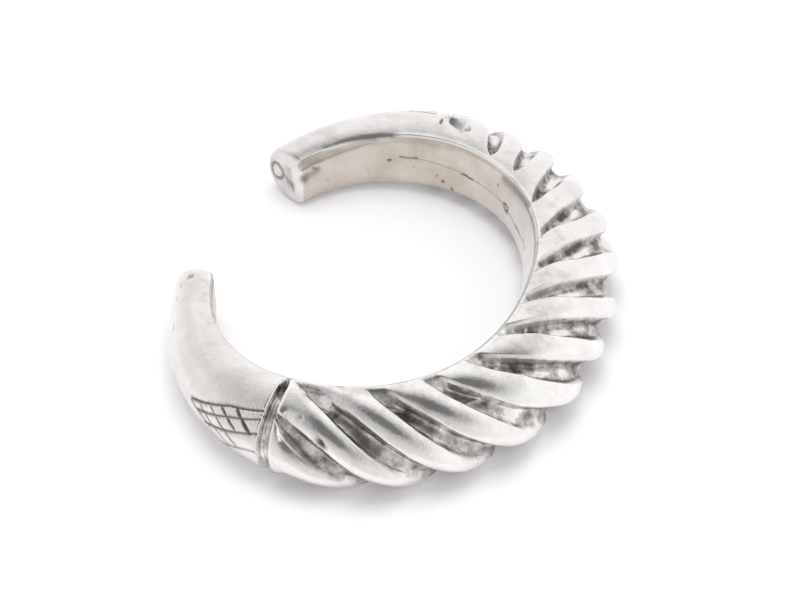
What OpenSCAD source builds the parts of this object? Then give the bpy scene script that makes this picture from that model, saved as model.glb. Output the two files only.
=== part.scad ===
// Open cuff bangle of one heavy silver bar, fluted like twisted rope round its back,
// with a plain tapered length and a flat end face on each side of the opening.
// It lies flat: +Z is up, the opening faces -X, and the long end is on the -Y side.

/* [Ring] */
// Mean radius of the inner wall about its hub
wall_r = 25.2; // [23:0.2:30]
// Shift of the inner wall towards the opening
wall_shift = 4.4; // [2:0.2:6]
// Half of how much wider than deep the inner wall is
wall_oval = 3.2; // [0:0.2:4]
// How much the inner wall is drawn in towards the opening
wall_egg = 0.6; // [0:0.1:1]
// Angle from the back of the ring to the long end
long_end = 161; // [152:1:163]
// Angle from the back of the ring to the short end
short_end = 137; // [125:1:150]
// Outward lean of the bar at the sides, in degrees
side_lean = 9.2; // [0:0.2:12]
// Extra outward lean of the bar at the back, in degrees
back_lean = 6.3; // [0:0.1:8]

/* [Bar] */
// Thickness of the fluted bar, from the inner wall outwards
bar_t = 13.4; // [11:0.2:15]
// Height of the fluted bar
bar_h = 10; // [8:0.2:12]
// Crown of the inner wall
wall_crown = 0.5; // [0:0.1:0.8]
// Rounding round each end face
end_round = 0.6; // [0.2:0.1:0.9]

/* [Flutes] */
// Depth of a flute
flute_deep = 1.9; // [0.8:0.1:2.2]
// Depth of the collar groove beside the fluting
collar_deep = 1.2; // [0.4:0.1:1.6]
// Slant of the collar groove at the long end, in degrees
collar_slant = 2.4; // [0:0.2:3]

/* [Hidden] */

// Angles count from the back of the ring (+X), plus towards the short end.
// Columns: angle from the back, share of bar_t, share of bar_h
TAPER = [
    [0,   1.00, 1.00],
    [95,  1.00, 0.99],
    [125, 0.63, 0.89],
    [155, 0.41, 0.80]];

// Columns: angle at which a flute leaves the upper inner edge, spread of its lay
FLUTES = [
    [-104, 1.50], [-84, 1.07], [-68.5, 0.92], [-53.5, 0.92], [-36, 1.10],
    [-15.5, 1.22], [7.5, 1.30], [30.5, 1.36], [49, 1.33], [65, 1.25],
    [75.5, 1.20], [86, 1.10], [96, 1.05]];

// Share of flute_deep from the middle of a flute to the crest of the lobe beside it
LOBE = [1, 0.92, 0.28, 0.08, 0.01, 0];

// Share of a flute's depth from an inner edge of the bar outwards
RUN_OUT = [0.15, 0.60, 0.95];

// Inner wall from its lower to its upper edge
// Columns: share of half the wall's height, share of wall_crown
WALL = [
    [-0.90, 0.55], [-0.65, 0.85], [-0.25, 1.00],
    [0.20, 1.00], [0.60, 0.95], [0.84, 0.80]];

// Columns: distance in from an end face and inset of the section, as shares of end_round
END_RIM = [[0, 1], [0.3, 0.3], [1, 0]];

// The collar groove, from the plain length towards the fluting
// Columns: angle out from the first flute, share of collar_deep
COLLAR = [[3.2, 0], [2.5, 0], [2, 1], [1, 1]];

flute_rings = 10;
flutes_across = 3;
face_steps = flute_rings * flutes_across;
ring_points = face_steps + 1 + len(WALL);
soft_span = 8;
slant_reach = 30;
arc_back = 130;
arc_end = 114;
arc_from = 60;
arc_to = 150;
plain_step = 6;
rim_length = 2.6;

t_share = [for (row = TAPER) [row[0], row[1]]];
h_share = [for (row = TAPER) [row[0], row[2]]];
flute_angle = [for (i = [0 : len(FLUTES) - 1]) [i, FLUTES[i][0]]];
flute_spread = [for (row = FLUTES) row];
collar_a = -FLUTES[0][0];
collar_b = FLUTES[len(FLUTES) - 1][0];

function clip01(x) = max(0, min(1, x));
function ease(x) = let (s = clip01(x)) s * s * (3 - 2 * s);
function soft(table, a) =
    (lookup(abs(a - soft_span), table) + 2 * lookup(a, table) + lookup(a + soft_span, table)) / 4;

// Bar section at an angle: thickness, height, half angle of its round face, lean
function thick(a) = bar_t * soft(t_share, abs(a));
function high(a) = bar_h * soft(h_share, abs(a));
function arc(a) = arc_back + (arc_end - arc_back) * clip01((abs(a) - arc_from) / (arc_to - arc_from));
function lean(a) = side_lean + back_lean * cos(a);
// Distance from the inner wall to the middle of the round face
function core(a) = thick(a) * -cos(arc(a)) / (1 - cos(arc(a)));

// Inner wall in plan: radius about the hub, its change per radian, and the way outwards
function wall(a) = wall_r - wall_shift * cos(a) - wall_oval * cos(2 * a) + wall_egg * cos(3 * a);
function wall_turn(a) = wall_shift * sin(a) + 2 * wall_oval * sin(2 * a) - 3 * wall_egg * sin(3 * a);
function outward(a) =
    let (r = wall(a), s = wall_turn(a), v = [s * sin(a) + r * cos(a), r * sin(a) - s * cos(a)])
    v / norm(v);

// Height of the bar's own middle, so that its underside lies on the ground
function lift(a) =
    norm([high(a) / 2 * cos(lean(a)), (thick(a) - core(a)) * sin(lean(a))]) + core(a) * sin(lean(a));

// A point of the section, out from the inner wall and up from the bar's middle
function place(a, out, up) =
    let (l = lean(a), plan = wall(a) * [cos(a), sin(a)] + outward(a) * (out * cos(l) + up * sin(l)))
    [plan.x, plan.y, up * cos(l) - out * sin(l) + lift(a)];

// Round face: share runs from 0 at the upper inner edge to 1 at the lower one
function face_turn(a, share) = arc(a) * (1 - 2 * pow(share, lookup(a, flute_spread)));
function slanted(a, turn) =
    a + collar_slant * (1 - turn / arc(a)) * (1 - ease(abs(a + collar_a) / slant_reach));
function face_point(a, share, depth, inset) =
    let (turn = face_turn(a, share), b = slanted(a, turn),
         grow_t = thick(b) - core(b) - depth - inset, grow_h = high(b) / 2 - depth - inset)
    place(b, core(b) + grow_t * cos(turn), grow_h * sin(turn));
function wall_point(a, row, inset) =
    let (half = (high(a) / 2 - inset) * sin(arc(a)), low = slanted(a, -arc(a)) - a,
         b = a + low * (1 - row[0]) / 2)
    place(b, inset - wall_crown * row[1], half * row[0]);

// How deep the fluting is at one ring and one step across the face
function lobe(ring, step) =
    let (m = (ring - step + face_steps) % flute_rings) LOBE[min(m, flute_rings - m)];
function run_out(step) =
    let (m = min(step, face_steps - step)) m < len(RUN_OUT) ? RUN_OUT[m] : 1;

// Columns: angle, inset of the section, share of collar_deep, ring of the fluting or -1
function end_rings(end, side) = [
    for (row = END_RIM) [side * (end - row[0] * end_round / wall(end) * 180 / PI), row[1] * end_round, 0, -1]];
function plain_rings(end, collar, side) =
    let (from = end - rim_length, count = ceil((from - collar) / plain_step))
    [for (i = [0 : count - 1]) [side * (from - i * (from - collar) / count), 0, 0, -1]];
function collar_rings(collar, side) = [
    for (row = COLLAR) [side * (collar + row[0]), 0, row[1], -1]];
fluted_rings = [
    for (i = [0 : (len(FLUTES) - 1) * flute_rings]) [lookup(i / flute_rings, flute_angle), 0, 0, i]];
function reversed(list) = [for (i = [len(list) - 1 : -1 : 0]) list[i]];
rings = concat(
    end_rings(long_end, -1), plain_rings(long_end, collar_a + COLLAR[0][0], -1), collar_rings(collar_a, -1),
    fluted_rings,
    reversed(collar_rings(collar_b, 1)), reversed(plain_rings(short_end, collar_b + COLLAR[0][0], 1)),
    reversed(end_rings(short_end, 1)));

function ring_loop(ring) = concat(
    [for (step = [0 : face_steps])
        let (flute = ring[3] < 0 ? 0 : flute_deep * lobe(ring[3], step),
             cut = max(flute, ring[2] * collar_deep) * run_out(step))
        face_point(ring[0], step / face_steps, cut, ring[1])],
    [for (row = WALL) wall_point(ring[0], row, ring[1])]);

loose = [for (ring = rings) each ring_loop(ring)];
low = [for (axis = [0 : 2]) min([for (p = loose) p[axis]])];
top = [for (axis = [0 : 2]) max([for (p = loose) p[axis]])];
middle = [(low.x + top.x) / 2, (low.y + top.y) / 2, low.z];

// One solid bar: its skin between the rings, split along the flutes, and two end faces
module cuff() {
    last = len(rings) - 1;
    skin = [
        for (i = [0 : last - 1], k = [0 : ring_points - 1])
            let (a = i * ring_points + k, b = i * ring_points + (k + 1) % ring_points)
            each [[a, a + ring_points, b + ring_points], [a, b + ring_points, b]]];
    long_face = [for (k = [0 : ring_points - 1]) k];
    short_face = [for (k = [ring_points - 1 : -1 : 0]) last * ring_points + k];
    color([0.74, 0.72, 0.69])
        polyhedron([for (p = loose) p - middle], concat(skin, [long_face, short_face]));
}

cuff();
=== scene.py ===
import math

import bpy
import numpy as np
from mathutils import Matrix, Vector, noise
from mathutils.kdtree import KDTree


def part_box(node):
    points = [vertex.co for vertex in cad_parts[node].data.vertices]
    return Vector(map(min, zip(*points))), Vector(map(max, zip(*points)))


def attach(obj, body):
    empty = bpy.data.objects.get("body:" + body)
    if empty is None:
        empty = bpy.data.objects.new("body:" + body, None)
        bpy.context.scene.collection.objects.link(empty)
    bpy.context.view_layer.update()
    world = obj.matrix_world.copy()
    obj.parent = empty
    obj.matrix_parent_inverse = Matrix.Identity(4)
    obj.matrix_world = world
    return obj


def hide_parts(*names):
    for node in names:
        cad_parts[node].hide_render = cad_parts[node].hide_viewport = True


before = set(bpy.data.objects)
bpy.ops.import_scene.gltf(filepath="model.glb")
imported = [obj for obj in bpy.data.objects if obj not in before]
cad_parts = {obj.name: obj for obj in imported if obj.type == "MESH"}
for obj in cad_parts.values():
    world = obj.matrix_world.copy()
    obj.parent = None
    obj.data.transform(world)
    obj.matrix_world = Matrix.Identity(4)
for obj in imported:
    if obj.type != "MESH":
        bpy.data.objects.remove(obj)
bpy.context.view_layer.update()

# Open cuff bangle of worn cast silver: one heavy bar, fluted like twisted rope round its back.
# Sizes are in millimetres and degrees. Angles count from the back of the ring, plus towards the short end.
# Where a table is looked up between two rows, the value is blended from them.
MM = 0.001

# Ring and bar, as in the solid that the piece stands for
WALL_R, WALL_SHIFT, WALL_OVAL, WALL_EGG = 25.2, 4.4, 3.2, 0.6
LONG_END, SHORT_END = 161.8, 137
SIDE_LEAN, BACK_LEAN = 9.2, 6.3
BAR_T, BAR_H = 13.4, 10.0
WALL_CROWN = 0.5
END_ROUND = 0.6
FLUTE_DEEP, COLLAR_DEEP = 1.9, 1.2
COLLAR_SLANT, SLANT_REACH = 2.4, 30
ARC_BACK, ARC_END, ARC_FROM, ARC_TO = 130, 114, 60, 150
SOFT_SPAN = 8
FLUTES_ACROSS = 3

# Columns: angle from the back, share of BAR_T, share of BAR_H
TAPER = [(0, 1.00, 1.00), (95, 1.00, 0.99), (125, 0.63, 0.89), (155, 0.41, 0.80)]

# Columns: angle at which a flute leaves the upper inner edge, spread of its lay
FLUTES = [
    (-104, 1.50), (-84, 1.07), (-68.5, 0.92), (-53.5, 0.92), (-36, 1.10), (-15.5, 1.22), (7.5, 1.30),
    (30.5, 1.36), (49, 1.33), (65, 1.25), (75.5, 1.20), (86, 1.10), (96, 1.05)]
LAST_FLUTE = len(FLUTES) - 1
FLUTE_ANGLES = [(i, row[0]) for i, row in enumerate(FLUTES)]
COLLAR_A, COLLAR_B = -FLUTES[0][0], FLUTES[-1][0]

# Columns: share of half the inner wall's height, share of WALL_CROWN
WALL = [(-1, 0), (-0.9, 0.55), (-0.65, 0.85), (-0.25, 1.0), (0.2, 1.0), (0.6, 0.95), (1, 0.8)]

# Columns: angle from the back, height share of the crease under the upper inner edge
CREASE = [(104, 0.90), (111, 0.87), (120, 0.71), (130, 0.64), (140, 0.62)]

# Marks cut, punched or worn into the skin. Columns: radius, depth and stain (painted shade for one wall
# mark), then the path.
# On the face the path is angle and turn, on the wall angle and height share, on an end out and up.
HATCH = [
    (0.31, 0.24, 1.0, [(-122.5, 0.15), (-113.5, 0.44), (-106, 0.57)]),
    (0.20, 0.13, 0.8, [(-122.5, 0.12), (-118, 0.06), (-114, -0.12), (-106.5, -0.20)]),
    (0.26, 0.19, 0.95, [(-120.5, 0.09), (-113, 0.33), (-106, 0.49)]),
    (0.26, 0.19, 0.95, [(-118, 0.02), (-111, 0.22), (-106, 0.35)]),
    (0.20, 0.12, 0.7, [(-114.5, -0.11), (-109, 0.08), (-106, 0.14)]),
    (0.27, 0.19, 0.95, [(-112, 0.46), (-109.3, 0.36)]),
    (0.31, 0.22, 1.0, [(-109.3, 0.36), (-107.8, 0.29)]),
    (0.22, 0.16, 0.9, [(-115, 0.38), (-111, 0.25)]),
    (0.19, 0.13, 0.8, [(-118, 0.32), (-113.7, 0.18), (-110.5, 0.06)]),
    (0.18, 0.12, 0.7, [(-120.3, 0.22), (-115.3, 0.08), (-112, -0.02)])]

FACE_PITS = [
    (1.2, 0.0, 0.10, [(-156, 0.60), (-142, 0.62), (-130, 0.58), (-120, 0.55)]),
    (0.49, 0.26, 1.0, [(-95.3, 0.45), (-95.2, 0.40)]),
    (0.49, 0.24, 1.0, [(-94.6, 0.44), (-94.6, 0.38)]),
    (0.30, 0.15, 1.0, [(-99, 0.61)]),
    (0.28, 0.15, 1.0, [(-102, 0.34)]),
    (0.30, 0.15, 0.9, [(-105, 1.0), (-104.5, 1.0)]),
    (0.28, 0.15, 0.8, [(-92, 1.0), (-91.3, 1.0)]),
    (0.28, 0.12, 0.6, [(-157.6, 0.66), (-157.4, 0.60)]),
    (0.18, 0.10, 0.5, [(-155, 0.47)]),
    (0.14, 0.08, 0.5, [(-151, 0.42)]),
    (0.25, 0.08, 0.5, [(-141, 0.33)])]

WALL_MARKS = [
    (0.16, 0.07, 0.9, [(104.5, 0.16), (99, 0.12)]),
    (0.13, 0.04, 0.35, [(99, 0.12), (88.5, 0.03), (84, -0.02)]),
    (0.20, 0.08, 1.0, [(84, -0.02), (79.5, -0.08)]),
    (0.13, 0.04, 0.4, [(79.5, -0.08), (66, -0.12), (58, -0.30), (53.5, -0.36), (44, -0.30), (36, -0.24)]),
    (0.17, 0.07, 0.8, [(53.5, -0.36), (49, -0.33)]),
    (0.20, 0.14, 0.9, [(64, -0.10), (62.4, -0.08), (61, -0.13), (60.6, -0.22), (61.3, -0.28)]),
    (0.18, 0.14, 0.9, [(63.6, -0.16), (63.2, -0.24), (62.3, -0.30), (60.4, -0.34)]),
    (0.22, 0.14, 0.9, [(108, 0.05), (107.2, 0.03)]),
    (0.16, 0.10, 0.8, [(100, -0.24)]),
    (0.20, 0.12, 0.9, [(92.5, -0.46)]),
    (0.26, 0.14, 0.9, [(90.5, -0.62), (90, -0.64)]),
    (0.26, 0.14, 0.9, [(87, -0.86), (86.6, -0.88)]),
    (0.20, 0.12, 0.8, [(69, 0.40), (68.8, 0.36)]),
    (0.14, 0.08, 0.8, [(77, -0.04)]),
    (1.00, 0.0, 0.6, [(-161, 0.78), (-150, 0.78), (-140, 0.85)]),
    (0.80, 0.05, 0.75, [(136, 0.20), (135, 0.10), (134.5, 0.20)]),
    (0.55, 0.05, 0.75, [(134.5, 0.16), (131.5, 0.26), (130, 0.30)]),
    (0.60, 0.0, 0.22, [(136, 0.84), (130, 0.80), (124, 0.80), (117, 0.86), (112, 0.93)]),
    # No stain: a painted dark reflection on the hollow facet under the upper inner edge
    (0.70, 0.0, 0.50, [(67, 0.78), (61, 0.84), (55, 0.90), (49, 0.94)]),
    (0.30, 0.06, 0.6, [(132, 0.46), (131, 0.40)]),
    (0.22, 0.05, 0.6, [(137, 0.58), (133, 0.62), (128, 0.63)]),
    (0.16, 0.04, 0.5, [(128, 0.63), (120, 0.70), (112, 0.86)]),
    (0.20, 0.12, 0.5, [(127, -0.35)]),
    (0.16, 0.10, 0.5, [(121, -0.50)]),
    (0.18, 0.10, 0.5, [(114, -0.30)])]

# The ring punched into the short end, then a broad dent and a pit beside it
RING_OUT, RING_UP, RING_R = 5.1, -0.15, 1.35
RING_ANGLES = [math.radians(t) for t in range(0, 361, 30)]
RING = [(RING_OUT + RING_R * math.cos(t), RING_UP + RING_R * math.sin(t)) for t in RING_ANGLES]
END_MARKS = [
    (0.42, 0.26, 0.65, RING),
    (1.5, 0.20, 0.30, [(2.5, 0.9), (2.2, -1.4)]),
    (0.30, 0.25, 1.0, [(5.9, -2.2), (5.7, -2.9)])]

# Fineness of the skin: lines from flute to flute and over the wall, loops of an end face and of its rim
LINES_PER_FLUTE = 36
HALF_FLUTE = LINES_PER_FLUTE / 2
FACE_STEPS = LINES_PER_FLUTE * FLUTES_ACROSS
WALL_STEPS = 22
LOOP = FACE_STEPS + WALL_STEPS + 1
CAP_LOOPS = 11
RIM_LOOPS = 5

# Points of the skin nearer than this are made one
MERGE = 0.0005

# Loops along the plain lengths: how far they are apart, and how far the finer ones reach from a collar
LONG_STEP, SHORT_STEP, HATCH_STEP, COLLAR_STEP = 1.4, 0.55, 0.42, 0.25
HATCH_SPAN, COLLAR_SPAN = 20, 3.2

# Section of one flute. Columns: lines from its middle, share of its depth.
# The flutes before FIRST_BLUNT_TIP have a bevelled brim on the long end's side.
FLUTE = [(0, 1.0), (2, 0.985), (3, 0.96), (4, 0.91), (5, 0.77), (6, 0.38), (7, -0.02)]
BEVELLED = FLUTE[:5] + [(6, 0.12), (7, -0.03)]
BRIM_LINES = 7

# The flute's section takes over from the lobe at 1 / SIDE_GAIN of its depth. The skin is all floor from
# 1 / FLOOR_GAIN of it on, and has the floor's shade where it is 1 / SHADE_GAIN floor.
SIDE_GAIN, FLOOR_GAIN, SHADE_GAIN = 3, 1.15, 3

# The lobes between the flutes fall off at their brims, on the outside by OUTER_DROP at least, which sets in
# over OUTER_SPAN from OUTER_FROM on. The fall grows from nothing over EDGE_FADE beside an inner edge, and
# over COLLAR_FADE of a flute beside a collar. Columns: flute count along the ring, share of FLUTE_DEEP
LOBES = [(0, 0.27), (2.4, 0.26), (3.4, 0.12), (4.4, 0.0), (8, 0.0), (12, 0.06)]
OUTER_DROP, OUTER_FROM, OUTER_SPAN = 0.24, 0.14, 0.16
EDGE_FADE, COLLAR_FADE = 0.12, 0.2

# Columns: share of the way round the face, width of the flutes. The last one is LAST_WIDE times as wide.
WIDTHS = [(0, 1.0), (0.08, 1.02), (0.2, 1.2), (0.3, 1.33), (0.42, 1.48), (0.8, 1.4), (1, 1.1)]
LAST_WIDE = 1.45

# How far from the upper inner edge each flute starts, in turn, of which the face has 2
TIPS = [0.03, 0.03, 0.03, 0.03, 0.01, 0.01, 0.01, 0.01, 0.02, 0.07, 0.06, 0.18, 0.2]

# A flute deepens from such a tip over TIP_TURN. From a tip at the long end's collar it does so over TIP_LONG
# of the way round the face, and STOP_STEEP times as fast from its lower end. TIP_LEAST of its width is left
# at the very tip.
TIP_LONG, TIP_TURN, TIP_LEAST = 0.075, 0.11, 0.2
STOP_STEEP = 1.3

# Shares of the way round the face by which tips keep off the long end's collar and the short end's
COLLAR_GAP, LAST_GAP = 0.015, 0.07

# Upper tips fade in softly before the first of these flutes, and are round from the second one on
FIRST_BLUNT_TIP, FIRST_ROUND_TIP = 4, 8

# Columns: share of the way round the face, how dark the flute floors are
SHADE = [(0, 0.4), (0.06, 0.65), (0.11, 1.0), (0.18, 0.95), (0.225, 0.1), (0.29, 0.0), (0.34, 0.4),
         (0.41, 0.75), (1, 0.8)]

# The same for flutes 0 and 1, each with one dark patch that is a painted reflection in its floor
FIRST_SHADES = [
    [(0, 0.9), (0.06, 0.9), (0.09, 0.45), (0.12, 0.15), (0.155, 0.2), (0.18, 1.3), (0.225, 1.3),
     (0.25, 0.5), (0.41, 0.75), (1, 0.8)],
    [(0, 0.85), (0.06, 0.85), (0.095, 0.3), (0.12, 1.3), (0.18, 1.3), (0.21, 0.45), (0.3, 0.4),
     (0.41, 0.75), (1, 0.8)]]

# From this flute on the sides carry painted shade all along, broad towards the short end and a thin line on
# the other side.
# Columns: lines from the flute's middle, plus towards the short end, then how dark
FIRST_SHADED_SIDE = 3
PAINTED_SIDE_SHADE = [(-7, 1.0), (-4.5, 1.0), (-3.5, 0.0), (0, 0.0), (2.5, 1.15), (7, 1.15)]

# Thin webs of metal left across a flute: its number, share of the way round the face. They stand this share
# of FLUTE_DEEP high, and fall off over this share of the way round.
BURRS = [(4, 10 / FACE_STEPS), (3, 9 / FACE_STEPS), (2, 17 / FACE_STEPS)]
BURR_RISE, BURR_SPAN = 0.2, 0.009

# The grooves across the bar beside the fluting, at the long end's collar and at the short end's. Columns:
# share of COLLAR_DEEP, half its width, how far past the collar it lies, softness of its sides, then the
# share of the way round the face at which it starts, and over how much it deepens. Beside an inner edge it
# has GROOVE_NARROW of its width, and it widens over GROOVE_WIDENS.
GROOVE_A = (1.0, 1.25, 1.35, 0.55, -0.01, 0.06)
GROOVE_B = (0.6, 0.6, -0.5, 0.4, 0.11, 0.05)
GROOVE_NARROW, GROOVE_WIDENS = 0.35, 0.16

# The inner wall's warm tint is partly warm tarnish and partly a painted reflection of the bangle in it
# Columns: angle from the back, how warm and dull the inner wall is
WARMTH = [(-161, 1.0), (-120, 0.7), (0, 0.1), (40, 0.2), (62, 0.5), (85, 0.95), (101, 1.0), (112, 1.0),
          (126, 0.75)]

# Columns: angle from the back, how dull the face is
DULLNESS = [(-162, 0.5), (-116, 0.5), (-104, 0.1), (-30, 0.0), (20, 0.15), (50, 0.5), (96, 0.75),
            (104, 0.8), (112, 1.0), (137, 1.0)]

# Columns: share of the way round the face, how smudged the lobes are
SMUDGES = [(0, 0.4), (0.04, 1.0), (0.18, 1.0), (0.28, 0.2), (1, 0.1)]

# The plain long end is worn to a squarer section: angles over which that grows, its reach
SQUARE_FROM, SQUARE_TO, SQUARE_RISE = 142, 160, 0.6

# Columns: angle from the back, share of WALL_CROWN
CROWNS = [(-161, 0.1), (-125, 1.0), (137, 1.0)]

# A low lip along the upper inner edge, LIP_STEPS lines wide. Columns: angle from the back, share of LIP_RISE
LIPS = [(-104, 0.0), (-60, 0.3), (-20, 0.5), (20, 1.0), (103, 1.0), (107, 0.0), (127, 0.0), (130, 0.6),
        (137, 0.6)]
LIP_RISE, LIP_STEPS = 0.26, 2.6

# Rounding of the inner edges. Columns: angle from the back, share of its full reach, which is EDGE_TURN on
# the face and EDGE_RISE on the wall
ROUNDING = [(-161, 0.7), (-108, 0.5), (-100, 0.2), (60, 0.15), (104, 0.25), (109, 0.8), (116, 1.0),
            (122, 0.8), (128, 0.15), (137, 0.1)]
EDGE_TURN, EDGE_RISE = 0.075, 0.22

# Between these angles the inner edges are worn smooth; elsewhere they are crisp
WORN_FROM, WORN_TO = 105, 128

# Unevenness of the skin: waves all over, hammer marks in the cut floors
WAVE, WAVE_SIZE = 0.05, 5.0
HAMMER, HAMMER_SIZE = 0.10, 1.3

# Marks are pressed in by dabs, TRAIL_STEP apart and rounded by MARK_POWER. The skin is cut finer within
# these reaches of the marks narrower than FINE_MARK, twice on the wall.
TRAIL_STEP, MARK_POWER = 0.1, 1.5
FINE_MARK = 0.5
FACE_REACH, WALL_REACHES = 0.4, (0.7, 0.35)


def clip01(x):
    return max(0.0, min(1.0, x))


def ease(x):
    x = clip01(x)
    return x * x * (3 - 2 * x)


def arched(x):
    """From 0 to 1 along a quarter circle, steep at first."""
    return math.sqrt(1 - (1 - clip01(x)) ** 2)


def lookup(x, table, column=1):
    """The value of a table at x, its first column; past the ends it stays as it is there."""
    for low, high in zip(table, table[1:]):
        if x <= high[0]:
            t = max(0.0, (x - low[0]) / (high[0] - low[0]))
            return low[column] + t * (high[column] - low[column])
    return table[-1][column]


def tapered(a, column):
    """A column of TAPER, softened round its rows."""
    a = abs(a)
    near, far = lookup(abs(a - SOFT_SPAN), TAPER, column), lookup(a + SOFT_SPAN, TAPER, column)
    return (near + 2 * lookup(a, TAPER, column) + far) / 4


class Section:
    """The bar's section at one angle: where a distance out and up from the inner wall lies."""

    def __init__(self, a):
        t = math.radians(a)
        self.thick = BAR_T * tapered(a, 1)
        self.half = BAR_H * tapered(a, 2) / 2
        self.arc = math.radians(
            ARC_BACK + (ARC_END - ARC_BACK) * clip01((abs(a) - ARC_FROM) / (ARC_TO - ARC_FROM)))
        c = math.cos(self.arc)
        self.core = self.thick * -c / (1 - c)
        self.lean = math.radians(SIDE_LEAN + BACK_LEAN * math.cos(t))
        r = WALL_R - WALL_SHIFT * math.cos(t) - WALL_OVAL * math.cos(2 * t) + WALL_EGG * math.cos(3 * t)
        turn = WALL_SHIFT * math.sin(t) + 2 * WALL_OVAL * math.sin(2 * t) - 3 * WALL_EGG * math.sin(3 * t)
        out = Vector((turn * math.sin(t) + r * math.cos(t), r * math.sin(t) - turn * math.cos(t), 0))
        self.out = out.normalized()
        self.foot = Vector((r * math.cos(t), r * math.sin(t), 0))
        self.lift = math.hypot(
            self.half * math.cos(self.lean), (self.thick - self.core) * math.sin(self.lean)
        ) + self.core * math.sin(self.lean)

    def place(self, out, up):
        level = out * math.cos(self.lean) + up * math.sin(self.lean)
        height = up * math.cos(self.lean) - out * math.sin(self.lean) + self.lift
        return self.foot + self.out * level + Vector((0, 0, height))


def slanted(a, turn):
    """The long end's collar runs a little aslant; turn is 1 at the upper inner edge, -1 at the lower."""
    return a + COLLAR_SLANT * (1 - turn) * (1 - ease(abs(a - FLUTES[0][0]) / SLANT_REACH))


def shrunk(section, out, up, shrink):
    """A place drawn in towards the section's middle, as on the end faces."""
    middle = section.thick * 0.5
    return section.place(middle + (out - middle) * (1 - shrink), up * (1 - shrink))


def face_turn(a, share):
    return 1 - 2 * share ** lookup(a, FLUTES)


def face_point(a, turn, depth=0.0, inset=0.0, shrink=0.0):
    """Round face: turn runs from 1 at the upper inner edge to -1 at the lower one."""
    s = Section(slanted(a, turn))
    angle = turn * Section(a).arc
    out = s.core + (s.thick - s.core - depth - inset) * math.cos(angle)
    return shrunk(s, out, (s.half - depth - inset) * math.sin(angle), shrink)


def wall_point(a, rise, inset=0.0, shrink=0.0):
    """Inner wall: rise runs from -1 at the lower inner edge to 1 at the upper one."""
    flat = Section(a)
    s = Section(a + (slanted(a, -1) - a) * (1 - rise) / 2)
    crease = lookup(abs(a), CREASE)
    crown = lookup(rise, WALL) * lookup(a, CROWNS)
    if rise > crease:
        crown *= (1 - rise) / (1 - crease)
    up = (flat.half - inset) * math.sin(flat.arc) * rise
    return shrunk(s, inset - WALL_CROWN * crown, up, shrink)


def rounding(a, side, along, inset, shrink):
    """Rounded inner edge: along runs from -1 on the face through the edge to 1 on the wall."""
    t = (1 + along) / 2
    reach = lookup(a, ROUNDING)
    face = face_point(a, side * (1 - EDGE_TURN * reach), 0, inset, shrink)
    edge = face_point(a, side, 0, inset, shrink)
    wall = wall_point(a, side * (1 - EDGE_RISE * reach), inset, shrink)
    return face * (1 - t) ** 2 + edge * 2 * t * (1 - t) + wall * t ** 2


def tip_runs(number, share):
    """How far inside its tips a flute is, in tip lengths: first for its depth, then for its width."""
    stop = 1.0
    if number + FLUTES_ACROSS > LAST_FLUTE:
        stop = (LAST_FLUTE - number) / FLUTES_ACROSS - LAST_GAP
    left = (stop - share) / TIP_LONG * STOP_STEEP
    if number < 0:
        left = min(left, (share + number / FLUTES_ACROSS - COLLAR_GAP) / TIP_LONG)
        return left, left
    deep = min(left, (2 * share ** FLUTES[number][1] - TIPS[number]) / TIP_TURN)
    return deep, deep if number >= FIRST_ROUND_TIP else left


def moved_aside(number, off, share, run, within):
    """How far the grid moves aside, in flutes, so that its lines follow a wide or narrow flute's brim."""
    lines = abs(off) * LINES_PER_FLUTE
    narrow = max(arched(run), TIP_LEAST + (1 - TIP_LEAST) * ease(-run))
    wide = lookup(share, WIDTHS) * (LAST_WIDE if number == LAST_FLUTE - 1 else 1)
    squeeze = within * (narrow * wide - 1)
    if lines < BRIM_LINES:
        aside = lines * squeeze
    else:
        aside = BRIM_LINES * squeeze * (HALF_FLUTE - lines) / (HALF_FLUTE - BRIM_LINES)
    return math.copysign(aside, aside * off) / LINES_PER_FLUTE


def flute_cut(flute, share):
    """Share of FLUTE_DEEP at a place, how much of it is flute floor, how dark that is, and how far the
    grid moves aside there."""
    count = flute - FLUTES_ACROSS * share
    number = math.floor(count + 0.5)
    off = count - number
    lines = abs(off) * LINES_PER_FLUTE
    within = ease(min(flute, LAST_FLUTE - flute) / COLLAR_FADE)
    along, run = tip_runs(number, share)
    aside = moved_aside(number, off, share, run, within)
    fade = ease(min(share, 1 - share) / EDGE_FADE) * within
    drop = max(lookup(flute, LOBES), OUTER_DROP * ease((share - OUTER_FROM) / OUTER_SPAN)) * fade
    drop *= ease(along + 1)
    lobe = drop * ((HALF_FLUTE - max(lines, BRIM_LINES)) / (HALF_FLUTE - BRIM_LINES)) ** 2
    if lines >= BRIM_LINES or along <= 0:
        return lobe, 0.0, 0.0, aside
    deep = lookup(lines, BEVELLED if number < FIRST_BLUNT_TIP and off < 0 else FLUTE)
    tip = ease(along) if 0 <= number < FIRST_BLUNT_TIP else arched(along)
    cut = lobe + (deep * tip - lobe * (deep > lobe)) * min(1.0, deep * SIDE_GAIN)
    burr = max((1 - abs(share - place) / BURR_SPAN for n, place in BURRS if n == number), default=0)
    burr = clip01(burr) * clip01(deep)
    floor = min(1.0, deep * FLOOR_GAIN) * (1 - burr)
    # How dark the floor is: tarnish, with painted reflections in flutes 0 and 1
    dark = lookup(share, FIRST_SHADES[number] if number in (0, 1) else SHADE)
    # Painted shade along the flute's sides
    if FIRST_SHADED_SIDE <= number < LAST_FLUTE - 1:
        dark = max(dark, lookup(off * LINES_PER_FLUTE, PAINTED_SIDE_SHADE))
    return max(cut - BURR_RISE * burr, lobe), floor, dark, aside


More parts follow.
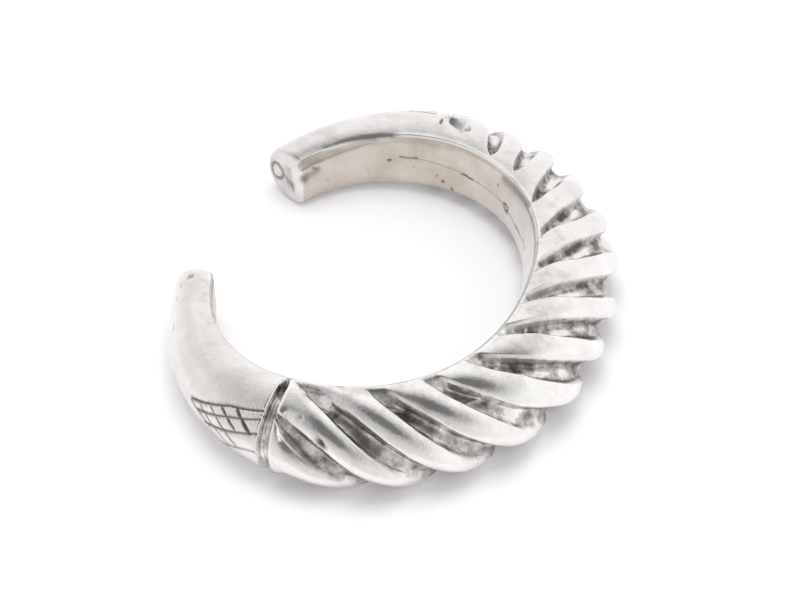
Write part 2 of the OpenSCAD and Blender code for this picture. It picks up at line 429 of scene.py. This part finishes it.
def collar_cut(a, share):
    """How deep the groove beside the fluting is; it is narrow where it meets the inner edges."""
    deep, half, past, softness, start, span = GROOVE_A if a < 0 else GROOVE_B
    along = min(share, 1 - share)
    narrow = GROOVE_NARROW + (1 - GROOVE_NARROW) * ease(along / GROOVE_WIDENS)
    off = abs(abs(a) - (COLLAR_A if a < 0 else COLLAR_B) - past)
    return deep * ease((half * narrow - off) / softness) * ease((along - start) / span)


def end_loops(end, side):
    """The loops of an end face and of its rounded rim, as all_loops gives them."""
    per_degree = WALL_R * math.pi / 180
    cap = [(side * end, END_ROUND, 1 - i / CAP_LOOPS, None) for i in range(CAP_LOOPS)]
    rim = []
    for i in range(RIM_LOOPS):
        t = math.pi / 2 * i / (RIM_LOOPS - 1)
        back = END_ROUND * (1 - math.cos(t)) / per_degree
        rim.append((side * (end - back), END_ROUND * (1 - math.sin(t)), 0, None))
    return cap + rim


def plain_loops(start, stop, step, side):
    count = math.ceil((start - stop) / step)
    return [(side * (start - (i + 1) * (start - stop) / count), 0, 0, None) for i in range(count)]


def all_loops():
    """Loops along the bar: angle, inset, shrink towards the section's middle, flute count or None."""
    long_side = end_loops(LONG_END, -1)
    long_side += plain_loops(LONG_END - LONG_STEP, COLLAR_A + HATCH_SPAN, LONG_STEP, -1)
    long_side += plain_loops(COLLAR_A + HATCH_SPAN, COLLAR_A + COLLAR_SPAN, HATCH_STEP, -1)
    long_side += plain_loops(COLLAR_A + COLLAR_SPAN, COLLAR_A, COLLAR_STEP, -1)[:-1]
    short_side = end_loops(SHORT_END, 1)
    short_side += plain_loops(SHORT_END - LONG_STEP, COLLAR_B + HATCH_SPAN, SHORT_STEP, 1)
    short_side += plain_loops(COLLAR_B + HATCH_SPAN, COLLAR_B + COLLAR_SPAN, HATCH_STEP, 1)
    short_side += plain_loops(COLLAR_B + COLLAR_SPAN, COLLAR_B, COLLAR_STEP, 1)[:-1]
    counts = [i / LINES_PER_FLUTE for i in range(LAST_FLUTE * LINES_PER_FLUTE + 1)]
    fluted = [(lookup(count, FLUTE_ANGLES), 0, 0, count) for count in counts]
    return long_side + fluted + short_side[::-1]


def wall_skin(loop, step, dull, crisp):
    """bar_point for the inner wall."""
    a, inset, shrink, _ = loop
    # Warm tint of the wall: partly tarnish, partly painted reflection
    warmth = lookup(a, WARMTH) * (1 - shrink) * (inset == 0)
    rise = -math.cos(math.pi * (step - FACE_STEPS) / (WALL_STEPS + 1))
    edge = (1 - abs(rise)) / (EDGE_RISE * lookup(a, ROUNDING))
    if edge < 1:
        point = rounding(a, math.copysign(1, rise), edge, inset, shrink)
        return point, 0.0, edge ** 2 * warmth, 0.0, edge ** 2 * dull, crisp
    return wall_point(a, rise, inset, shrink), 0.0, warmth, 0.0, dull, crisp


def bar_point(loop, step):
    """A point of the skin, then how much of it is cut floor, warm wall (partly painted reflection), dark
    (tarnish with painted shade) or smudged, dull, crisp.
    """
    a, inset, shrink, flute = loop
    crisp = float(step in (0, FACE_STEPS) and not inset and not WORN_FROM < a < WORN_TO)
    dull = lookup(a, DULLNESS)
    if step > FACE_STEPS:
        return wall_skin(loop, step, dull, crisp)
    share = step / FACE_STEPS
    depth, floor, shade = 0.0, 0.0, lookup(share, SMUDGES)
    if flute is not None:
        cut, floor, dark, aside = flute_cut(flute, share)
        shade += (dark - shade) * min(1.0, SHADE_GAIN * floor)
        depth = FLUTE_DEEP * cut
        if a > COLLAR_B - COLLAR_SPAN:
            groove = collar_cut(a, share)
            depth, floor = max(depth, COLLAR_DEEP * groove), max(floor, groove)
        a = lookup(flute + aside, FLUTE_ANGLES)
    elif shrink == 0:
        floor = collar_cut(a, share)
        depth = COLLAR_DEEP * floor
    turn = face_turn(a, share)
    square = ease((-a - SQUARE_FROM) / (SQUARE_TO - SQUARE_FROM)) * (1 - shrink)
    depth -= SQUARE_RISE * square * math.sin(math.pi * max(0.0, turn)) ** 2
    depth -= LIP_RISE * lookup(a, LIPS) * clip01(1 - step / LIP_STEPS)
    point = face_point(a, turn, depth, inset, shrink)
    reach = EDGE_TURN * lookup(a, ROUNDING)
    if abs(turn) > 1 - reach:
        plain = face_point(a, turn, 0, inset, shrink)
        along = -(1 - abs(turn)) / reach
        dull *= -along
        point += rounding(a, math.copysign(1, turn), along, inset, shrink) - plain
    return point, floor, 0.0, shade, dull, crisp


def select_only(piece):
    """Makes a piece the only one selected, and active."""
    bpy.ops.object.select_all(action="DESELECT")
    piece.select_set(True)
    bpy.context.view_layer.objects.active = piece


def roll_bar():
    """A flat grid rolled up into the bar. Each of its long lines winds with the flutes."""
    loops = all_loops()
    bpy.ops.object.select_all(action="DESELECT")
    bpy.ops.mesh.primitive_grid_add(x_subdivisions=len(loops) - 1, y_subdivisions=LOOP, size=1)
    bar = bpy.context.object
    bar.name = "silver_bar"
    mesh = bar.data
    memo = {}
    kinds = ("floor", "wall", "shade", "dull", "crisp")
    values = {kind: [] for kind in kinds}
    for v in mesh.vertices:
        i = round((v.co.x + 0.5) * (len(loops) - 1))
        j = round((v.co.y + 0.5) * LOOP)
        key = (i, (i + j) % LOOP)
        if key not in memo:
            memo[key] = bar_point(loops[i], key[1])
        v.co = memo[key][0]
        for kind, value in zip(kinds, memo[key][1:]):
            values[kind].append(value)
    for kind in kinds:
        mesh.attributes.new(kind, "FLOAT", "POINT").data.foreach_set("value", values[kind])
    select_only(bar)
    bpy.ops.object.mode_set(mode="EDIT")
    bpy.ops.mesh.select_all(action="SELECT")
    bpy.ops.mesh.remove_doubles(threshold=MERGE)
    bpy.ops.mesh.normals_make_consistent(inside=False)
    bpy.ops.object.mode_set(mode="OBJECT")
    return bar


def sharpen(bar):
    """The inner edges are crisp, but for the worn stretch of the short end."""
    marked = [e.value > 0.5 for e in bar.data.attributes["crisp"].data]
    for edge in bar.data.edges:
        edge.use_edge_sharp = all(marked[index] for index in edge.vertices)


def spot(where, first, second):
    if where == "face":
        return face_point(first, second)
    if where == "wall":
        return wall_point(first, second)
    return Section(SHORT_END).place(first, second)


def trail(where, path):
    """Points along a mark, a step apart."""
    points = [spot(where, *path[0])]
    for start, stop in zip(path, path[1:]):
        steps = max(1, math.ceil((spot(where, *stop) - spot(where, *start)).length / TRAIL_STEP))
        for i in range(1, steps + 1):
            points.append(spot(where, *(p + (q - p) * i / steps for p, q in zip(start, stop))))
    return points


def vertex_tree(bar):
    tree = KDTree(len(bar.data.vertices))
    for v in bar.data.vertices:
        tree.insert(v.co, v.index)
    tree.balance()
    return tree


def refine(bar, trails, reach):
    """Cuts the faces round some marks finer."""
    tree = vertex_tree(bar)
    near = set()
    for points in trails:
        for point in points:
            centre = tree.find(point)[0]
            near.update(index for _, index, _ in tree.find_range(centre, reach))
    select_only(bar)
    bpy.ops.object.mode_set(mode="EDIT")
    bpy.ops.mesh.select_mode(type="VERT")
    bpy.ops.mesh.select_all(action="DESELECT")
    bpy.ops.object.mode_set(mode="OBJECT")
    for index in near:
        bar.data.vertices[index].select = True
    bpy.ops.object.mode_set(mode="EDIT")
    bpy.ops.mesh.subdivide(number_cuts=1)
    bpy.ops.object.mode_set(mode="OBJECT")


def lift(bar, shifts):
    """Moves each vertex along its normal."""
    count = len(bar.data.vertices)
    places, normals = np.empty(count * 3), np.empty(count * 3)
    bar.data.vertices.foreach_get("co", places)
    bar.data.vertices.foreach_get("normal", normals)
    bar.data.vertices.foreach_set("co", places + normals * np.repeat(shifts, 3))
    bar.data.update()


def weather(bar):
    """The slight unevenness of hand work: wavy all over, hammered in the cut floors, less where dull."""
    shifts = []
    layers = bar.data.attributes
    for v, floor, dull in zip(bar.data.vertices, layers["floor"].data, layers["dull"].data):
        shift = WAVE * noise.noise(v.co / WAVE_SIZE)
        rough = HAMMER * floor.value * (1 - dull.value)
        shifts.append(shift + rough * noise.noise(v.co / HAMMER_SIZE))
    lift(bar, shifts)


def engrave(bar, marks):
    """Presses each mark into the skin and notes its stain, which for one wall mark is painted shade.
    Straight ones are drawn to the skin.
    """
    tree = vertex_tree(bar)
    count = len(bar.data.vertices)
    depths, stains_and_shade = [0.0] * count, [0.0] * count
    for where, (radius, depth, stain_and_shade, path) in marks:
        straight = len(path) < 3
        for point in trail(where, path):
            centre = tree.find(point)[0] if straight else point
            for _, index, distance in tree.find_range(centre, radius):
                share = (1 - (distance / radius) ** 2) ** MARK_POWER
                depths[index] = max(depths[index], depth * share)
                stains_and_shade[index] = max(stains_and_shade[index], stain_and_shade * share)
    lift(bar, [-depth for depth in depths])
    bar.data.attributes.new("stain_and_shade", "FLOAT", "POINT").data.foreach_set("value", stains_and_shade)


def all_marks():
    """All marks with where they are. The hatched triangle is mirrored on the short end."""
    marks = [("face", mark) for mark in HATCH + FACE_PITS]
    for radius, depth, stain_and_shade, path in HATCH:
        mirrored = [(-a - COLLAR_A + COLLAR_B, turn) for a, turn in path]
        marks.append(("face", (radius, depth, stain_and_shade, mirrored)))
    marks += [("wall", mark) for mark in WALL_MARKS]
    return marks + [("end", mark) for mark in END_MARKS]


def settle(bar):
    """Moves the bar onto the solid's own box, from millimetres to metres."""
    low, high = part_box("cuff")
    places = np.empty(len(bar.data.vertices) * 3)
    bar.data.vertices.foreach_get("co", places)
    places.shape = (-1, 3)
    start, stop = places.min(0), places.max(0)
    middle = Vector(((start[0] + stop[0]) / 2, (start[1] + stop[1]) / 2, start[2]))
    goal = Vector(((low[0] + high[0]) / 2, (low[1] + high[1]) / 2, low[2]))
    bar.data.transform(Matrix.Translation(goal) @ Matrix.Scale(MM, 4) @ Matrix.Translation(-middle))


# Noises of the silver. Columns: scale, detail, roughness, and the part of its range that is spread out
BRIGHT_NOISE = (260, 5, 0.55, 0.35, 0.7)
WORN_NOISE = (150, 7, 0.6, 0.4, 0.65)
WARM_NOISE = (170, 6, 0.55, 0.35, 0.65)
GRIME_NOISE = (330, 8, 0.68, 0.47, 0.64)
BLOTCH_NOISE = (420, 8, 0.65, 0.38, 0.62)
POLISH_NOISE = (300, 6, 0.55, 0.3, 0.7)
TOOTH_NOISE = (700, 5, 0.55)
FINE_TOOTH_NOISE = (2600, 3, 0.55)

# Colours of the silver. Each pair is blended by its noise.
BRIGHT = (0.92, 0.905, 0.89), (0.85, 0.83, 0.815)
WORN = (0.80, 0.775, 0.765), (0.63, 0.60, 0.595)
# The warm pair tints the inner wall: partly warm tarnish, partly painted reflection
WARM = (0.67, 0.61, 0.55), (0.53, 0.465, 0.40)
SMUDGED = (0.66, 0.61, 0.605)
# Colour of the stains in marks, and of the one painted dark reflection on the wall
STAIN_AND_SHADE = (0.10, 0.075, 0.055)

# How strong the grime is at most, and what share of it the least smudged lobes have
GRIME, LEAST_SMUDGED = 0.75, 0.35

# The shade attribute adds darkness set along each flute to the tarnish: painted reflections in flutes 0 and
# 1, painted shade along the sides
# Tarnish in the floors: the range that its noise spreads over, how much the shade attribute adds, and over
# what amount it sets in. Then its colours. Columns: how much tarnish, colour
TARNISH_SPREAD, TARNISH_SHADE, TARNISH_SETS_IN = (-0.32, 0.36), 0.55, 0.15
TARNISH_AND_SHADE_COLORS = (0.1, (0.68, 0.66, 0.65, 1)), (0.85, (0.12, 0.10, 0.09, 1))

# Roughness: clean metal's range, then what dull or warm, smudged and tarnished metal add
POLISH = 0.07, 0.16
DULL_ROUGH, SMUDGE_ROUGH, TARNISH_ROUGH = 0.09, 0.12, 0.3

# The tooth of the skin, and the share of its finer part
BUMP_STRENGTH, BUMP_DISTANCE, FINE_TOOTH = 0.25, 0.0002, 0.35


def silver():
    m = bpy.data.materials.new("aged_silver")
    m.use_nodes = True
    nodes, links = m.node_tree.nodes, m.node_tree.links
    shader = nodes["Principled BSDF"]
    shader.inputs["Metallic"].default_value = 1.0
    place = nodes.new("ShaderNodeTexCoord")

    def cloud(scale, detail, rough):
        n = nodes.new("ShaderNodeTexNoise")
        n.inputs["Scale"].default_value = scale
        n.inputs["Detail"].default_value = detail
        n.inputs["Roughness"].default_value = rough
        links.new(place.outputs["Object"], n.inputs["Vector"])
        return n.outputs["Fac"]

    def spread(value, from_min, from_max, to_min=0.0, to_max=1.0):
        n = nodes.new("ShaderNodeMapRange")
        n.inputs["From Min"].default_value = from_min
        n.inputs["From Max"].default_value = from_max
        n.inputs["To Min"].default_value = to_min
        n.inputs["To Max"].default_value = to_max
        links.new(value, n.inputs["Value"])
        return n.outputs["Result"]

    def spread_cloud(settings, to_min=0.0, to_max=1.0):
        return spread(cloud(*settings[:3]), *settings[3:], to_min, to_max)

    def fill(sockets, values):
        """Links each socket to its value, or sets it where the value is a colour or a number."""
        for socket, value in zip(sockets, values):
            if isinstance(value, tuple):
                socket.default_value = (*value, 1)
            elif isinstance(value, float):
                socket.default_value = value
            else:
                links.new(value, socket)

    def maths(kind, a, b):
        n = nodes.new("ShaderNodeMath")
        n.operation = kind
        fill(n.inputs, (a, b))
        return n.outputs[0]

    def mix(factor, a, b):
        n = nodes.new("ShaderNodeMix")
        n.data_type = "RGBA"
        links.new(factor, n.inputs["Factor"])
        fill((n.inputs["A"], n.inputs["B"]), (a, b))
        return n.outputs["Result"]

    def attribute(name):
        n = nodes.new("ShaderNodeAttribute")
        n.attribute_name = name
        return n.outputs["Fac"]

    names = ("floor", "wall", "shade", "dull", "stain_and_shade")
    floor, wall, shade, dull, stain_and_shade = (attribute(name) for name in names)
    bright = mix(spread_cloud(BRIGHT_NOISE), *BRIGHT)
    worn = mix(spread_cloud(WORN_NOISE), *WORN)
    warm = mix(spread_cloud(WARM_NOISE), *WARM)
    grime = spread_cloud(GRIME_NOISE, 0.0, GRIME)
    smudge = maths("MULTIPLY", grime, spread(shade, 0.0, 1.0, LEAST_SMUDGED, 1.0))
    face = mix(dull, mix(smudge, bright, SMUDGED), worn)
    # The inner wall takes the warm tint, partly painted reflection
    clean = mix(wall, face, warm)
    blotch = spread(spread_cloud(BLOTCH_NOISE), 0.0, 1.0, *TARNISH_SPREAD)
    # Tarnish, plus the painted shade and reflections that the shade attribute carries
    patina_and_shade = maths("ADD", blotch, maths("MULTIPLY", shade, TARNISH_SHADE))
    deep = maths("MULTIPLY", floor, patina_and_shade)
    ramp = nodes.new("ShaderNodeValToRGB")
    for step, (position, color) in zip(ramp.color_ramp.elements, TARNISH_AND_SHADE_COLORS):
        step.position, step.color = position, color
    links.new(deep, ramp.inputs[0])
    aged_and_shaded = mix(spread(deep, 0.0, TARNISH_SETS_IN), clean, ramp.outputs[0])
    # Stains, and the painted dark reflection on the wall
    links.new(mix(stain_and_shade, aged_and_shaded, STAIN_AND_SHADE), shader.inputs["Base Color"])
    polish = spread_cloud(POLISH_NOISE, *POLISH)
    matt = maths("MULTIPLY", maths("ADD", dull, wall), DULL_ROUGH)
    matt = maths("ADD", matt, maths("MULTIPLY", smudge, SMUDGE_ROUGH))
    rough = maths("ADD", matt, spread(maths("ADD", deep, stain_and_shade), 0.0, 1.0, 0.0, TARNISH_ROUGH))
    links.new(maths("ADD", polish, rough), shader.inputs["Roughness"])
    bump = nodes.new("ShaderNodeBump")
    bump.inputs["Strength"].default_value = BUMP_STRENGTH
    bump.inputs["Distance"].default_value = BUMP_DISTANCE
    tooth = maths("ADD", cloud(*TOOTH_NOISE), maths("MULTIPLY", cloud(*FINE_TOOTH_NOISE), FINE_TOOTH))
    links.new(tooth, bump.inputs["Height"])
    links.new(bump.outputs[0], shader.inputs["Normal"])
    return m


def make_bangle():
    bar = roll_bar()
    marks = all_marks()
    fine = [(where, trail(where, path)) for where, (radius, _, _, path) in marks if radius < FINE_MARK]
    refine(bar, [points for where, points in fine if where != "wall"], FACE_REACH)
    for reach in WALL_REACHES:
        refine(bar, [points for where, points in fine if where == "wall"], reach)
    sharpen(bar)
    weather(bar)
    engrave(bar, marks)
    settle(bar)
    select_only(bar)
    bpy.ops.object.shade_smooth()
    bar.data.materials.clear()
    bar.data.materials.append(silver())
    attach(bar, "root")
    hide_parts("cuff")


# Camera, at the photograph's angle: its aim point on the ground, direction, distance and roll
AIM = Vector((-0.633, 2.249, 0)) * MM
AZIMUTH, ELEVATION, ROLL = 13.31, 39.64, 2.11
DISTANCE = 365.6 * MM
FOCAL_PIXELS, FRAME_WIDE, SENSOR = 2500, 800, 36
CLIP = 0.01, 10


def make_camera():
    a, e, r = (math.radians(x) for x in (AZIMUTH, ELEVATION, ROLL))
    back = Vector((math.sin(a) * math.cos(e), -math.cos(a) * math.cos(e), math.sin(e)))
    side = Vector((math.cos(a), math.sin(a), 0))
    rise = back.cross(side)
    right = side * math.cos(r) + rise * math.sin(r)
    up = rise * math.cos(r) - side * math.sin(r)
    bpy.ops.object.camera_add(location=AIM + back * DISTANCE)
    camera = bpy.context.object
    camera.rotation_euler = Matrix((right, up, back)).transposed().to_euler()
    camera.data.sensor_width = SENSOR
    camera.data.lens = SENSOR * FOCAL_PIXELS / FRAME_WIDE
    camera.data.clip_start, camera.data.clip_end = CLIP
    bpy.context.scene.camera = camera


# Studio light. The dark patch overhead is what the lobes of polished silver mirror as their grey streaks.
# Columns of the skies: how near to overhead, colour
OVERHEAD = (-0.02, 0.09, 1.0)
FAR_SKY = [(0.0, (1, 1, 1)), (0.64, (0.96, 0.96, 0.955)), (0.80, (0.72, 0.72, 0.715)),
           (0.88, (0.54, 0.545, 0.54)), (0.93, (0.36, 0.365, 0.36)), (0.96, (0.17, 0.175, 0.17))]
NEAR_SKY = [(0.0, (0.84, 0.83, 0.82)), (0.60, (0.66, 0.65, 0.65)), (0.80, (0.52, 0.51, 0.51)),
            (0.88, (0.44, 0.44, 0.44)), (0.93, (0.33, 0.33, 0.33)), (0.96, (0.17, 0.17, 0.17))]
FAR_SIDE, FAR_FROM, FAR_TO = (0.3, 0.95, 0), -0.7, 0.5
SKY_STRENGTH = 1.12
KEY_AT = Vector((-0.06, 0.12, 0.80))
KEY_SIZE, KEY_POWER = 0.6, 3.3
FLOOR_SIZE, FLOOR_COLOR, FLOOR_ROUGH, FLOOR_GLOW = 3, (0.90, 0.895, 0.905, 1), 0.7, 0.10


def studio_world():
    """White all round, with a dark soft patch overhead, and dimmer on the camera's side."""
    world = bpy.data.worlds.new("studio")
    world.use_nodes = True
    nodes, links = world.node_tree.nodes, world.node_tree.links
    place = nodes.new("ShaderNodeTexCoord")

    def towards(direction):
        n = nodes.new("ShaderNodeVectorMath")
        n.operation = "DOT_PRODUCT"
        n.inputs[1].default_value = Vector(direction).normalized()
        links.new(place.outputs["Generated"], n.inputs[0])
        return n.outputs["Value"]

    def sky(height, stops):
        n = nodes.new("ShaderNodeValToRGB")
        steps = n.color_ramp.elements
        while len(steps) < len(stops):
            steps.new(0.5)
        for step, (position, color) in zip(steps, stops):
            step.position, step.color = position, (*color, 1)
        links.new(height, n.inputs[0])
        return n.outputs[0]

    height = towards(OVERHEAD)
    far = sky(height, FAR_SKY)
    near = sky(height, NEAR_SKY)
    side = nodes.new("ShaderNodeMapRange")
    side.inputs["From Min"].default_value = FAR_FROM
    side.inputs["From Max"].default_value = FAR_TO
    links.new(towards(FAR_SIDE), side.inputs["Value"])
    mix = nodes.new("ShaderNodeMix")
    mix.data_type = "RGBA"
    links.new(side.outputs["Result"], mix.inputs["Factor"])
    links.new(near, mix.inputs["A"])
    links.new(far, mix.inputs["B"])
    links.new(mix.outputs["Result"], nodes["Background"].inputs["Color"])
    nodes["Background"].inputs["Strength"].default_value = SKY_STRENGTH
    bpy.context.scene.world = world


def make_stage():
    bpy.ops.mesh.primitive_plane_add(size=FLOOR_SIZE)
    floor = bpy.context.object
    floor.name = "floor"
    m = bpy.data.materials.new("pale_floor")
    m.use_nodes = True
    shader = m.node_tree.nodes["Principled BSDF"]
    shader.inputs["Base Color"].default_value = FLOOR_COLOR
    shader.inputs["Roughness"].default_value = FLOOR_ROUGH
    shader.inputs["Emission Color"].default_value = (1, 1, 1, 1)
    shader.inputs["Emission Strength"].default_value = FLOOR_GLOW
    floor.data.materials.append(m)
    bpy.ops.object.light_add(type="AREA", location=KEY_AT)
    key = bpy.context.object
    key.data.size = KEY_SIZE
    key.data.energy = KEY_POWER
    key.visible_glossy = False
    key.rotation_euler = (-KEY_AT).to_track_quat("-Z", "Y").to_euler()
    bpy.context.scene.view_settings.view_transform = "Standard"


make_camera()
studio_world()
make_stage()
make_bangle()
